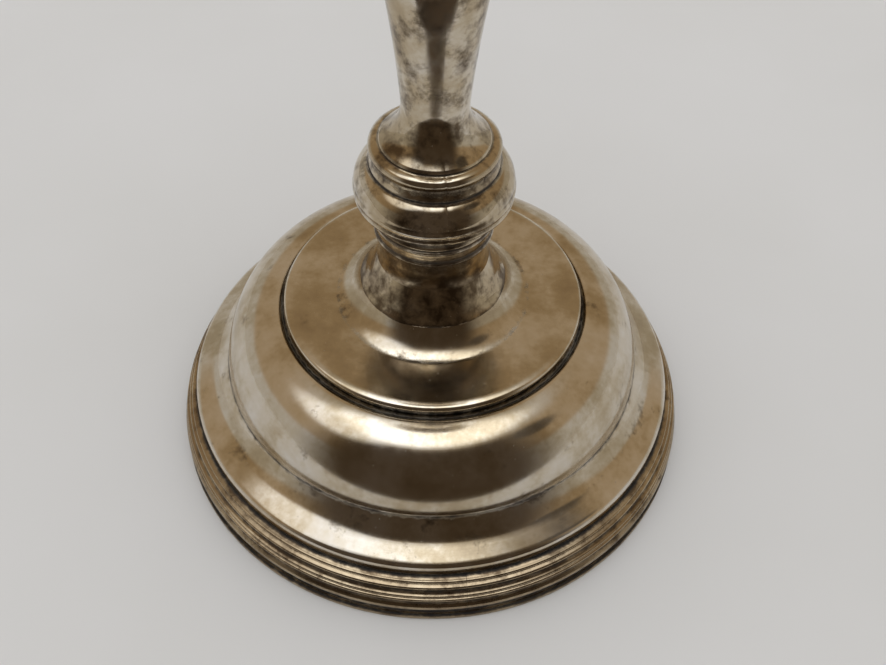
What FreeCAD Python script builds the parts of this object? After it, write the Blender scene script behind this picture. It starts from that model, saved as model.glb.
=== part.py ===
import FreeCAD, Part
import math
import os

# Altar candlestick in silvered brass, turned and spun on one upright axis.
# Millimetres, +Z up, origin on the axis in the plane that the foot stands on.
# Thin shells are stacked on a steel tie rod, and a nozzle with a drip pan lifts out of the top.
#
# Each step, moulding and piece is sized by its own width and rise, counted from the one it
# stands on, so a changed size moves everything that rests on it or fits to it.

# ---- sheet, solder and fits ----
SHEET = 1.2                 # wall of the spun and struck shells
LAP = 0.6                   # sheet thinned where the stem foot laps over the mound
LOOSE = 0.2                 # gap between pieces that only guide each other
SLIDE = 0.05                # radial running gap of the lift-out nozzle
ROD_GAP = 0.3               # radial gap round the tie rod

# ---- foot, from the floor upwards and from the outside inwards ----
BASE_RADIUS = 85.0
RING_WIDTH = 11.0           # plinth ring that the foot stands on
RING_HEIGHT = 2.1
RING_EDGE = 0.6             # rounding of its outer edge
RIM_HEIGHT = 14.9           # reeded rim, above the ring
RIM_GAP = 0.3               # open butt joint of the rim strip
RIM_GAP_ANGLE = 8.0         # degrees from the front (-Y) towards +X
REED_DEPTH = 0.9
# each reed: crest inset from BASE_RADIUS, height of the crest above the ring, half its height
REEDS = [
    (0.10, 4.20, 1.45),
    (0.80, 7.65, 0.60),
    (1.20, 9.20, 0.60),
    (2.40, 12.05, 0.75),
    (3.50, 13.85, 0.65),
]
STEP1_SETBACK = 5.7         # lower step, back from the foot's radius
EDGE_RISE = 3.2             # upright edge of the lower step, above the rim
ROLL_WIDTH = 1.1            # rounding on top of that edge
ROLL_RISE = 1.8
TREAD_WIDTH = 5.8           # gently sloping tread
TREAD_RISE = 2.9
HOLLOW_WIDTH = 5.1          # hollow that climbs from the tread to the upper step
HOLLOW_RISE = 5.4
STEP2_RISE = 23.0           # upper step, a full quarter-round from the crease to its crown
STEP2_WIDTH = 18.1
SHOULDER_WIDTH = 4.3        # steep part of the upper step
SHOULDER_RISE = 14.6
CROWN_WIDTH = 0.8           # rounded crown, and the fall behind it down to the shelf
CROWN_DROP = 0.4
FALL_WIDTH = 0.6
SKIRT_INSET = 1.3           # the dome's skirt stands this far inside the lower step
SHELF_DEPTH = 1.5           # shelf for the top plate, below the upper step's crown
SHELF_WIDTH = 6.0           # shelf inwards from the edge of the top plate

# ---- top plate and stem foot ----
PLATE_GAP = 1.8             # open groove between the upper step's crown and the plate
PLATE_RISE = 4.6            # top of the plate above the shelf
PLATE_EDGE = 2.8            # height of the plate's rolled edge
PLATE_ROLL = 1.3            # how far that edge stands out
PLATE_SLOPE = 0.1           # rise of the plate from its edge to the mound
EDGE_BEVEL = (1.8, 0.2)     # width and height of the bevel on top of the rolled edge
MOUND_WIDTH = 7.7           # mound outside the lap
LAP_HEIGHT = 6.9            # height of the lap above the plate
LAP_LENGTH = 4.6            # height of the cone that mound and stem foot share
LAP_DRAW = 2.7              # how much that cone narrows
STEM_FOOT_RADIUS = 16.5
STEM_FOOT_FLARE = 5.8       # how far the stem foot flares out to the lap
STEM_FOOT_HEIGHT = 21.1
STEM_FOOT_NECK = 4.0        # straight part at its top
STEM_FOOT_BORE = 7.0        # straight bore that takes the neck's spigot

# ---- neck piece ----
SPIGOT = 4.0                # spigot in the stem foot
KNOP_SPIGOT = 2.5           # spigot in the knop
NECK_HEIGHT = 13.9
# outset from STEM_FOOT_RADIUS, height above the stem foot[, bulge]
NECK_MOULDINGS = [
    (0.8, 0.2, 0.9),        # lower bead
    (0.8, 1.6),
    (0.9, 2.0),             # coned ring
    (1.7, 5.9),
    (1.1, 6.5, 0.8),        # upper bead
    (1.1, 8.3, -0.3),       # cove up to the knop
]

# ---- knop and collar ----
KNOP_LIP = 6.4              # lip of the knop, out from STEM_FOOT_RADIUS
KNOP_LIP_HEIGHT = 1.6
KNOP_LIP_REVEAL = 0.8       # lip left proud of the cove under it
CREASE = 0.25               # fine creases between mouldings
KNOP_HEIGHT = 11.5
KNOP_WAIST = 5.1            # height of the crease round the knop's middle
KNOP_WAIST_DEPTH = 0.1      # that crease, inside the lip
KNOP_TORUS = 0.2            # ends of the lower torus, out from the lip
KNOP_UPPER_TORUS = 0.3      # foot of the upper torus, out from the lip
COLLAR_RADIUS = 18.8        # fillet over the knop, and the collar's ledge
COLLAR_HEIGHT = 7.6
FILLET_DEPTH = 0.4
FILLET_HEIGHT = 0.7
FILLET_BEVEL = 0.2
FILLET_BAND = 0.5
COVE_DEPTH = 1.4            # cove between fillet and ledge
# outset from COLLAR_RADIUS, height above the collar's top[, bulge]
LEDGE = [(-0.3, -2.7), (0.0, -2.4), (0.0, -1.6, 0.4), (-1.7, -0.1)]
SEAM_ANGLE = 10.5           # brazed seam of the two stem halves, from -Y towards +X

# ---- shaft: a slender inverted baluster ----
FLARE_RADIUS = 16.2
# fine groove under the flare: outset from FLARE_RADIUS, height above the collar[, bulge]
FLARE_GROOVE = [(-0.6, 0.0), (-0.9, 0.2), (-0.1, 0.4), (0.0, 0.8, -0.3)]
SHAFT_NECK = 9.56
SHAFT_NECK_RISE = 14.1      # thinnest place above the collar
SHAFT_MID = 12.85
SHAFT_MID_RISE = 29.0       # middle above the thinnest place
SHAFT_MAX = 16.4
SHAFT_MAX_RISE = 53.5       # fullest place above the middle
SHAFT_TOP_RADIUS = 10.4
SHAFT_TOP_RISE = 20.0       # top above the fullest place
SHAFT_MOUTH = 2.0           # straight mouth

# ---- shoulder collar, upper knop and capital ----
COLLAR2_OUT = 3.6           # collar out from SHAFT_TOP_RADIUS
COLLAR2_HEIGHT = 5.0
COLLAR2_FOOT = 2.2          # insets of its foot, sides and top
COLLAR2_SIDE = 1.5
COLLAR2_TOP = 3.5
COLLAR2_BAND = 0.8          # plain band under and over the bead
KNOP2_RADIUS = 12.8
KNOP2_HEIGHT = 13.0
KNOP2_FILLET = 3.6          # insets of the lower and upper fillet
KNOP2_TOP_FILLET = 3.8
KNOP2_BANDS = (2.0, 1.6)    # heights of the two fillets
CAPITAL_NECK = 8.4
CAPITAL_FOOT = 15.0         # moulded foot up to the floor of the bowl
# outset from CAPITAL_NECK, height above the capital's foot[, bulge]
CAPITAL_MOULDINGS = [(1.6, 0.0), (1.8, 0.4, 0.9), (1.8, 2.6), (0.9, 3.0, -0.3)]
BOWL_NECK = 0.4             # foot of the bowl, out from CAPITAL_NECK
BOWL_DROP = 6.0             # foot of the bowl, below the floor
BOWL_WALL = 2.4             # wall round the socket tube
BOWL_RISE = 5.0             # fullest place above the floor
THROAT_DEPTH = 0.6          # throat, inside the bowl
THROAT_DROP = 8.0           # throat, below the lip
CAPITAL_LIP = 3.35          # lip, out from the bowl
LIP_HEIGHT = 3.4
LIP_BEVEL = 1.2
# outset from the lip's radius, height above its underside[, bulge]
LIP_MOULDINGS = [(-0.9, 0.0), (-0.4, 0.5, 0.9), (-0.4, 2.7)]
CANDLE_BORE = 11.3          # takes a candle of 22.2 mm diameter
CANDLE_DEPTH = 26.0
NOZZLE_WALL = 0.9
NOZZLE_ROOM = 3.4           # free height between the rod and the cup
SOCKET_WALL = 1.0
PAN_FLAT = 5.0              # flat middle of the drip pan, beyond the capital's lip
PAN_WIDTH = 17.0            # sloping part of the drip pan
PAN_DEPTH = 7.0
PAN_WIRE = 1.3              # radius of the wire in the pan's edge

# ---- rod, fasteners and weight ----
ROD = 3.0                   # M6 rod
NUT_ACROSS = 10.0
NUT_HEIGHT = 5.0
WASHER_WIDTH = 2.7
WASHER = 1.2
SPRING_WASHER_WIDTH = 1.7
SPRING_WASHER = 1.6
SPRING_SPLIT = 0.8
ROD_END = 4.0               # rod left proud of the bottom nut
SPREADER_GAP = 1.4          # between the spreader and the dome's shelf
SPREADER = 3.0
WEIGHT_GAP = 3.8            # between the weight and the dome's skirt
WEIGHT_BORE = 24.0
WEIGHT_HEIGHT = 14.0
WEIGHT_ROUND = 4.0
BUSH = 3.0                  # thickness of the shaft bush

AXIS = FreeCAD.Vector(0, 0, 1)
ORIGIN = FreeCAD.Vector(0, 0, 0)
FAR = 500.0                 # larger than the whole object
QUARTER = math.tan(math.pi / 8)     # bulge of a quarter circle

# ---- radii and heights worked out from the values above ----
ring_inner = BASE_RADIUS - RING_WIDTH
floor_top = RING_HEIGHT + SHEET
rim_top = RING_HEIGHT + RIM_HEIGHT
step1_radius = BASE_RADIUS - STEP1_SETBACK
roll = (step1_radius - ROLL_WIDTH, rim_top + EDGE_RISE + ROLL_RISE)
tread = (roll[0] - TREAD_WIDTH, roll[1] + TREAD_RISE)
crease = (tread[0] - HOLLOW_WIDTH, tread[1] + HOLLOW_RISE)
crown = (crease[0] - STEP2_WIDTH, crease[1] + STEP2_RISE)
skirt = step1_radius - SKIRT_INSET
shelf = crown[1] - SHELF_DEPTH
plate_radius = crown[0] - PLATE_GAP
plate_top = shelf + PLATE_RISE
shelf_end = plate_radius - SHELF_WIDTH
spreader_top = plate_top - SHEET
lap = (STEM_FOOT_RADIUS + STEM_FOOT_FLARE, plate_top + LAP_HEIGHT)
mound = (lap[0] - LAP_DRAW, lap[1] + LAP_LENGTH)
stem_foot_top = lap[1] + STEM_FOOT_HEIGHT
stem_foot_bore = STEM_FOOT_RADIUS - SHEET
knop_foot = stem_foot_top + NECK_HEIGHT
knop_lip = STEM_FOOT_RADIUS + KNOP_LIP
knop_top = knop_foot + KNOP_HEIGHT
collar_top = knop_foot + KNOP_HEIGHT + COLLAR_HEIGHT
neck_height = collar_top + SHAFT_NECK_RISE
mid_height = neck_height + SHAFT_MID_RISE
max_height = mid_height + SHAFT_MAX_RISE
shaft_top = max_height + SHAFT_TOP_RISE
shaft_bore = SHAFT_TOP_RADIUS - SHEET
rod_hole = ROD + ROD_GAP
washer_radius = rod_hole + WASHER_WIDTH
knop2_foot = shaft_top + COLLAR2_HEIGHT
capital_foot = knop2_foot + KNOP2_HEIGHT
capital_floor = capital_foot + CAPITAL_FOOT
washer_foot = capital_floor + SHEET
nut_foot = washer_foot + WASHER
rod_top = nut_foot + NUT_HEIGHT + LOOSE
nozzle_floor = rod_top + NOZZLE_ROOM + SHEET
pan_top = nozzle_floor + CANDLE_DEPTH
capital_top = pan_top - SHEET
nozzle_outer = CANDLE_BORE + NOZZLE_WALL
socket_inner = nozzle_outer + SLIDE
socket_outer = socket_inner + SOCKET_WALL
bowl = socket_outer + BOWL_WALL
capital_lip = bowl + CAPITAL_LIP
pan_flat = capital_lip + PAN_FLAT
pan_radius = pan_flat + PAN_WIDTH
washer_top = spreader_top - SPREADER
spring_top = washer_top - WASHER
nut_top = spring_top - SPRING_WASHER
rod_foot = nut_top - NUT_HEIGHT - ROD_END


def outline(points):
    """Closed wire in the XZ plane through (radius, height[, bulge]) points.

    A bulge is the rise of an arc over half of its chord, on the way to the next point.
    It is positive to the right of the way, so it swells outwards on a wall drawn upwards.
    """
    edges = []
    for index, start in enumerate(points):
        end = points[(index + 1) % len(points)]
        first = FreeCAD.Vector(start[0], 0, start[1])
        last = FreeCAD.Vector(end[0], 0, end[1])
        bulge = start[2] if len(start) > 2 else 0
        if bulge:
            half = (last - first) * 0.5
            middle = first + half + FreeCAD.Vector(half.z, 0, -half.x) * bulge
            edges.append(Part.Arc(first, middle, last).toShape())
        else:
            edges.append(Part.LineSegment(first, last).toShape())
    return Part.Wire(edges)


def turned(points):
    """Solid of revolution of a closed outline about the candlestick's axis."""
    return Part.Face(outline(points)).revolve(ORIGIN, AXIS, 360)


def moved(points, radius, height):
    """Moulding points counted from a radius and a height of their own."""
    return [(radius + point[0], height + point[1], *point[2:]) for point in points]


def tube(outer, inner, low, high):
    """Plain ring or disc between two radii and two heights."""
    foot = FreeCAD.Vector(0, 0, low)
    shape = Part.makeCylinder(outer, high - low, foot)
    if inner:
        shape = shape.cut(Part.makeCylinder(inner, high - low, foot))
    return shape


def hexagon(low, across, height, bore):
    """Hexagon nut that stands on the height low."""
    corner = across / math.sqrt(3)
    corners = []
    for step in range(7):
        turn = math.radians(60 * step)
        corners.append(FreeCAD.Vector(corner * math.cos(turn), corner * math.sin(turn), low))
    body = Part.Face(Part.makePolygon(corners)).extrude(AXIS * height)
    return body.cut(Part.makeCylinder(bore, height, FreeCAD.Vector(0, 0, low)))


def half_space(angle, side):
    """Big box on one side (-1 or 1) of the upright plane at an angle from -Y towards +X."""
    box = Part.makeBox(FAR, 2 * FAR, 2 * FAR, FreeCAD.Vector(0 if side > 0 else -FAR, -FAR, -FAR))
    box.rotate(ORIGIN, AXIS, angle)
    return box


def make_base_ring():
    """Flat plinth ring with a softened outer edge: the foot stands on it."""
    return turned([
        (ring_inner, 0),
        (BASE_RADIUS - RING_EDGE, 0, QUARTER),
        (BASE_RADIUS, RING_EDGE),
        (BASE_RADIUS, RING_HEIGHT - RING_EDGE, QUARTER),
        (BASE_RADIUS - RING_EDGE, RING_HEIGHT),
        (ring_inner, RING_HEIGHT),
    ])


def make_foot_rim():
    """Reeded strip round the foot: half-round reeds that step inwards, with an open butt joint."""
    points = [(skirt, RING_HEIGHT), (BASE_RADIUS - REEDS[0][0] - REED_DEPTH, RING_HEIGHT)]
    for inset, height, half in REEDS:
        valley = BASE_RADIUS - inset - REED_DEPTH
        crest = RING_HEIGHT + height
        points.append((valley, crest - half, REED_DEPTH / half))
        points.append((valley, crest + half))
    points += [(step1_radius, rim_top), (skirt, rim_top)]
    slot = Part.makeBox(RIM_GAP, FAR, FAR, FreeCAD.Vector(-RIM_GAP / 2, -FAR, 0))
    slot.rotate(ORIGIN, AXIS, RIM_GAP_ANGLE)
    return turned(points).cut(slot)


def make_foot_dome():
    """Spun shell: skirt, sloping lower step, quarter-round upper step and a shelf behind it."""
    shoulder = (crease[0] - SHOULDER_WIDTH, crease[1] + SHOULDER_RISE)
    outside = [
        (skirt, floor_top),
        (skirt, rim_top),
        (step1_radius, rim_top),
        (step1_radius, rim_top + EDGE_RISE, 0.3),
        roll,
        (*tread, -0.08),
        (*crease, 0.12),
        (*shoulder, 0.24),
        crown,
        (crown[0] - CROWN_WIDTH, crown[1] - CROWN_DROP),
        (crown[0] - CROWN_WIDTH - FALL_WIDTH, shelf),
        (shelf_end, shelf),
    ]
    inside = [
        (shelf_end, shelf - SHEET),
        (crown[0] - CROWN_WIDTH, shelf - SHEET),
        (crown[0], crown[1] - SHEET, -0.24),
        (shoulder[0] - SHEET, shoulder[1] - SHEET / 2, -0.12),
        (crease[0] - SHEET, crease[1] - SHEET / 2, 0.08),
        (tread[0] - SHEET / 2, tread[1] - SHEET),
        (roll[0] - SHEET, roll[1] - SHEET),
        (skirt - SHEET, rim_top + EDGE_RISE - SHEET),
        (skirt - SHEET, floor_top),
    ]
    return turned(outside + inside)


def make_top_plate():
    """Nearly flat plate with a rolled edge, and a mound that carries the stem."""
    flange = plate_radius - PLATE_ROLL
    mound_foot = lap[0] + MOUND_WIDTH
    bevel_width, bevel_height = EDGE_BEVEL
    return turned([
        (flange - SHEET, shelf),
        (flange, shelf),
        (flange, plate_top - PLATE_EDGE, 0.9),
        (flange, plate_top - bevel_height, 0.1),
        (flange - bevel_width, plate_top),
        (mound_foot, plate_top + PLATE_SLOPE, -0.2),
        lap,
        mound,
        (mound[0] - SHEET, mound[1]),
        (lap[0] - SHEET, lap[1] - SHEET / 2, 0.2),
        (mound_foot - SHEET / 2, spreader_top),
        (flange - SHEET, spreader_top),
    ])


def make_stem_foot():
    """Flared collar, lapped over the mound and hollowed in a long cove."""
    return turned([
        lap,
        (lap[0] + LAP, lap[1] + LAP / 2),
        (lap[0] + LAP * 0.6, lap[1] + LAP, -0.22),
        (STEM_FOOT_RADIUS, stem_foot_top - STEM_FOOT_NECK),
        (STEM_FOOT_RADIUS, stem_foot_top),
        (stem_foot_bore, stem_foot_top),
        (stem_foot_bore, stem_foot_top - STEM_FOOT_BORE),
        mound,
    ])


def make_neck_piece():
    """Turned piece under the knop: bead, coned ring, bead and cove, with a spigot at each end."""
    low_spigot = stem_foot_bore - LOOSE
    high_spigot = knop_lip - SHEET - LOOSE
    foot = [
        (rod_hole, stem_foot_top - SPIGOT),
        (low_spigot, stem_foot_top - SPIGOT),
        (low_spigot, stem_foot_top),
    ]
    head = [
        (knop_lip - KNOP_LIP_REVEAL, knop_foot),
        (high_spigot, knop_foot),
        (high_spigot, knop_foot + KNOP_SPIGOT),
        (rod_hole, knop_foot + KNOP_SPIGOT),
    ]
    return turned(foot + moved(NECK_MOULDINGS, STEM_FOOT_RADIUS, stem_foot_top) + head)


def stem_shell():
    """Knop, fillet, collar, flare and shaft, struck in one hollow shape."""
    lip_top = knop_foot + KNOP_LIP_HEIGHT
    waist = (knop_lip - KNOP_WAIST_DEPTH, knop_foot + KNOP_WAIST)
    lower_torus = knop_lip + KNOP_TORUS
    upper_torus = knop_lip + KNOP_UPPER_TORUS
    fillet = COLLAR_RADIUS - FILLET_DEPTH
    knop = [
        (knop_lip - SHEET, knop_foot),
        (knop_lip, knop_foot, 0.4),
        (knop_lip, lip_top),
        (knop_lip - CREASE, lip_top + CREASE),
        (lower_torus, lip_top + 2 * CREASE, 0.28),
        (lower_torus, waist[1] - CREASE),
        waist,
        (upper_torus, waist[1] + CREASE, 0.28),
        (COLLAR_RADIUS, knop_top),
    ]
    collar = [
        (fillet, knop_top + CREASE),
        (fillet, knop_top + FILLET_HEIGHT),
        (COLLAR_RADIUS, knop_top + FILLET_HEIGHT + FILLET_BEVEL),
        (COLLAR_RADIUS, knop_top + FILLET_HEIGHT + FILLET_BEVEL + FILLET_BAND, -0.35),
    ]
    ledge = moved(LEDGE, COLLAR_RADIUS, collar_top)
    shaft = moved(FLARE_GROOVE, FLARE_RADIUS, collar_top) + [
        (SHAFT_NECK, neck_height, -0.02),
        (SHAFT_MID, mid_height, 0.03),
        (SHAFT_MAX, max_height, 0.42),
        (SHAFT_TOP_RADIUS, shaft_top - SHAFT_MOUTH),
        (SHAFT_TOP_RADIUS, shaft_top),
    ]
    inside = [
        (shaft_bore, shaft_top),
        (shaft_bore, shaft_top - SHAFT_MOUTH - SHEET / 2, -0.4),
        (SHAFT_MAX - SHEET, max_height, -0.03),
        (SHAFT_MID - SHEET, mid_height),
        (SHAFT_NECK - SHEET, neck_height, 0.25),
        (FLARE_RADIUS - 3 * SHEET, collar_top),
        (COLLAR_RADIUS - COVE_DEPTH - 1.5 * SHEET, collar_top - 1.5 * SHEET),
        (COLLAR_RADIUS - COVE_DEPTH - SHEET, knop_top + SHEET),
        (COLLAR_RADIUS - SHEET, knop_top - SHEET, -0.25),
        (waist[0] - SHEET, waist[1] - SHEET / 2),
        (knop_lip - SHEET, lip_top),
    ]
    return turned(knop + collar + ledge + shaft + inside)


def make_stem_half(side):
    """One of the two struck halves of the stem, divided at the brazed seam."""
    return stem_shell().common(half_space(SEAM_ANGLE, side))


def make_shaft_bush():
    """Disc in the mouth of the shaft that keeps the tie rod in the middle."""
    return tube(shaft_bore - LOOSE, rod_hole, shaft_top - BUSH, shaft_top)


def make_shoulder_collar():
    """Half-round collar on top of the shaft."""
    radius = SHAFT_TOP_RADIUS + COLLAR2_OUT
    return turned([
        (rod_hole, shaft_top),
        (radius - COLLAR2_FOOT, shaft_top),
        (radius - COLLAR2_SIDE, shaft_top + COLLAR2_BAND, 0.9),
        (radius - COLLAR2_SIDE, knop2_foot - COLLAR2_BAND),
        (radius - COLLAR2_TOP, knop2_foot),
        (rod_hole, knop2_foot),
    ])


def make_upper_knop():
    """Small cushion-shaped knop between two fillets."""
    low_fillet = KNOP2_RADIUS - KNOP2_FILLET
    high_fillet = KNOP2_RADIUS - KNOP2_TOP_FILLET
    low_band, high_band = KNOP2_BANDS
    return turned([
        (rod_hole, knop2_foot),
        (low_fillet, knop2_foot),
        (low_fillet, knop2_foot + low_band, 0.55),
        (KNOP2_RADIUS, knop2_foot + KNOP2_HEIGHT / 2, 0.45),
        (high_fillet, capital_foot - high_band),
        (high_fillet, capital_foot),
        (rod_hole, capital_foot),
    ])


def make_capital():
    """Vase-shaped shell with a moulded foot; its flat lip carries the drip pan."""
    lip = capital_top - LIP_HEIGHT
    return turned([
        (rod_hole, capital_foot),
        *moved(CAPITAL_MOULDINGS, CAPITAL_NECK, capital_foot),
        (CAPITAL_NECK + BOWL_NECK, capital_floor - BOWL_DROP, 0.3),
        (bowl, capital_floor + BOWL_RISE, 0.05),
        (bowl - THROAT_DEPTH, lip - THROAT_DROP, -0.3),
        *moved(LIP_MOULDINGS, capital_lip, lip),
        (capital_lip - LIP_BEVEL, capital_top),
        (socket_outer, capital_top),
        (socket_outer, capital_floor),
        (rod_hole, capital_floor),
    ])


def make_socket_tube():
    """Plain tube with a floor, clamped in the capital by the top nut."""
    outer = tube(socket_outer, rod_hole, capital_floor, capital_top)
    return outer.cut(tube(socket_inner, 0, capital_floor + SHEET, capital_top))


def make_nozzle_sleeve():
    """Cup that holds the candle and stands loose in the socket tube."""
    sleeve = tube(nozzle_outer, 0, nozzle_floor - SHEET, pan_top)
    return sleeve.cut(tube(CANDLE_BORE, 0, nozzle_floor, pan_top))


def make_drip_pan():
    """Shallow dish soldered round the nozzle sleeve, flat in the middle where it is carried."""
    edge = pan_radius - 1.5 * PAN_WIRE
    rise = capital_top + PAN_DEPTH - PAN_WIRE
    return turned([
        (nozzle_outer, capital_top),
        (pan_flat, capital_top, 0.18),
        (edge, rise),
        (edge - SHEET / 2, rise + SHEET, -0.18),
        (pan_flat - SHEET / 2, pan_top),
        (nozzle_outer, pan_top),
    ])


def make_pan_wire():
    """Round wire soldered to the pan's edge, with a flat where the sheet ends."""
    centre = FreeCAD.Vector(0, 0, capital_top + PAN_DEPTH)
    wire = Part.makeTorus(pan_radius - PAN_WIRE, PAN_WIRE, centre)
    return wire.cut(make_drip_pan())


def make_weight():
    """Cast-iron ring with a rounded top, lying on the base plate."""
    radius = skirt - SHEET - WEIGHT_GAP
    top = floor_top + WEIGHT_HEIGHT
    return turned([
        (WEIGHT_BORE, floor_top),
        (radius, floor_top),
        (radius, top - WEIGHT_ROUND, QUARTER),
        (radius - WEIGHT_ROUND, top),
        (WEIGHT_BORE, top),
    ])


def make_spring_washer():
    """Square-section spring washer, split on one side."""
    ring = tube(rod_hole + SPRING_WASHER_WIDTH, rod_hole, nut_top, spring_top)
    split = Part.makeBox(FAR, SPRING_SPLIT, FAR, FreeCAD.Vector(0, -SPRING_SPLIT / 2, 0))
    return ring.cut(split)


PIECES = {
    "base_ring": make_base_ring(),
    "foot_rim": make_foot_rim(),
    "foot_dome": make_foot_dome(),
    "top_plate": make_top_plate(),
    "stem_foot": make_stem_foot(),
    "neck_piece": make_neck_piece(),
    "stem_half_left": make_stem_half(-1),
    "stem_half_right": make_stem_half(1),
    "shaft_bush": make_shaft_bush(),
    "shoulder_collar": make_shoulder_collar(),
    "upper_knop": make_upper_knop(),
    "capital": make_capital(),
    "socket_tube": make_socket_tube(),
    "nozzle_sleeve": make_nozzle_sleeve(),
    "drip_pan": make_drip_pan(),
    "pan_wire": make_pan_wire(),
    "tie_rod": tube(ROD, 0, rod_foot, rod_top),
    "top_washer": tube(washer_radius, rod_hole, washer_foot, nut_foot),
    "top_nut": hexagon(nut_foot, NUT_ACROSS, NUT_HEIGHT, ROD),
    "spreader": tube(shelf_end - SPREADER_GAP, rod_hole, washer_top, spreader_top),
    "bottom_washer": tube(washer_radius, rod_hole, spring_top, washer_top),
    "spring_washer": make_spring_washer(),
    "bottom_nut": hexagon(nut_top - NUT_HEIGHT, NUT_ACROSS, NUT_HEIGHT, ROD),
    "ballast_weight": make_weight(),
    "base_plate": tube(skirt - LOOSE, 0, RING_HEIGHT, floor_top),
    "felt_pad": tube(ring_inner - LOOSE, 0, 0, RING_HEIGHT),
}

os.makedirs("parts", exist_ok=True)
for node, shape in PIECES.items():
    shape.exportStep("parts/" + node + ".step")
    print(node, "solids", len(shape.Solids), "valid", shape.isValid(), "volume", round(shape.Volume, 1))
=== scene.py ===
import math

import bpy
import numpy as np
from bpy.props import FloatProperty, FloatVectorProperty, IntProperty, PointerProperty
from mathutils import Matrix, Vector


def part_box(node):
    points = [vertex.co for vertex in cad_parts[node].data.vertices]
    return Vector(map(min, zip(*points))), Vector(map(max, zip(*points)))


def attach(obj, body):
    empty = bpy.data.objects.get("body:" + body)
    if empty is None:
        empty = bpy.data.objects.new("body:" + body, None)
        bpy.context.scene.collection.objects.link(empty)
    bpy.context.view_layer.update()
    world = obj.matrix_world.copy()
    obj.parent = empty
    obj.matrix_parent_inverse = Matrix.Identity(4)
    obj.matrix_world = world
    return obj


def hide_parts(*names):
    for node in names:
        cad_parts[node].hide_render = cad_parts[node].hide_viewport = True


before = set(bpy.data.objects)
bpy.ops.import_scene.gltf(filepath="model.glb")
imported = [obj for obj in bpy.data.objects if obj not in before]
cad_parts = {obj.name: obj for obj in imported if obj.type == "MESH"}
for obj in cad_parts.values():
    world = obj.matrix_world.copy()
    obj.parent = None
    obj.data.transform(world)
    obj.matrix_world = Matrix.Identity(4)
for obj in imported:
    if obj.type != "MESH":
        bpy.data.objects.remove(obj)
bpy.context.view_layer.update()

MM = 0.001

bl_info = {
    "name": "Silvered altar candlestick",
    "version": (1, 0, 0),
    "blender": (4, 5, 0),
    "location": "3D View > Sidebar > Candlestick",
    "description": "Builds the worn silver-plated skin of an altar candlestick round its frame",
    "category": "Object",
}


# ---------------------------------------------------------------- sizes read from the frame

def span(node):
    """Outer radius, lowest and highest point of a turned node, in millimetres."""
    low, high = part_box(node)
    return high.x / MM, low.z / MM, high.z / MM


FOOT_RADIUS, FLOOR, RING_TOP = span("base_ring")
PAD_RADIUS = span("felt_pad")[0]
RIM_TOP = span("foot_rim")[2]
LOWER_STEP_RADIUS = span("foot_dome")[0]
SHEET = span("foot_dome")[1] - RING_TOP
PLATE_RADIUS, SHELF, MOUND_TOP = span("top_plate")
UPPER_STEP_TOP = SHELF + 1.5          # the crown stands this much over the shelf in it
LAP_OUTER, LAP_FOOT, STEM_FOOT_TOP = span("stem_foot")
NECK_OUTER, _, SPIGOT_TOP = span("neck_piece")
NECK_TOP = span("stem_half_left")[1]
SHAFT_TOP = span("stem_half_left")[2]
SHOULDER_COLLAR = span("shoulder_collar")
UPPER_KNOP = span("upper_knop")
CAPITAL = span("capital")
SOCKET_OUTER = span("socket_tube")[0]
NOZZLE = span("nozzle_sleeve")
PAN_WIRE_BOX = span("pan_wire")


# ---------------------------------------------------------------- settings a user would change

class FootSettings(bpy.types.PropertyGroup):
    """Sizes of the stepped foot."""
    tread_slope: FloatProperty(
        name="Tread rise", description="Rise of the lower step's tread from its edge inwards",
        default=2.9 * MM, unit="LENGTH", min=0.0)
    crease_radius: FloatProperty(
        name="Crease radius", description="Radius of the crease between the two steps",
        default=67.3 * MM, unit="LENGTH", min=0.01)
    crease_height: FloatProperty(
        name="Crease height", description="Height of the crease between the two steps",
        default=30.3 * MM, unit="LENGTH", min=0.001)
    crown_radius: FloatProperty(
        name="Crown radius", description="Radius of the highest line of the upper step",
        default=49.2 * MM, unit="LENGTH", min=0.01)
    reed_depth: FloatProperty(
        name="Reed depth", description="How far the valleys between the reeds are cut back",
        default=0.9 * MM, unit="LENGTH", min=0.0)
    waver: FloatProperty(
        name="Waver", description="How far the spun sheet wavers inwards from a true circle",
        default=0.10 * MM, unit="LENGTH", min=0.0)


class StemSettings(bpy.types.PropertyGroup):
    """Sizes of the knop and the shaft."""
    knop_radius: FloatProperty(
        name="Knop radius", description="Largest radius of the knop",
        default=23.6 * MM, unit="LENGTH", min=0.005)
    collar_radius: FloatProperty(
        name="Collar radius", description="Radius of the collar over the knop",
        default=18.8 * MM, unit="LENGTH", min=0.005)
    shaft_neck: FloatProperty(
        name="Shaft neck radius", description="Radius of the thinnest place of the shaft",
        default=9.56 * MM, unit="LENGTH", min=0.003)
    shaft_max: FloatProperty(
        name="Shaft swell radius", description="Largest radius of the baluster shaft",
        default=16.4 * MM, unit="LENGTH", min=0.003)
    seam_angle: FloatProperty(
        name="Seam angle", description="Place of the brazed seam, from the front towards the right",
        default=math.radians(10.5), subtype="ANGLE")
    seam_step: FloatProperty(
        name="Seam step", description="How far the left half stands back from the right one",
        default=0.10 * MM, unit="LENGTH", min=0.0)


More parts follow.
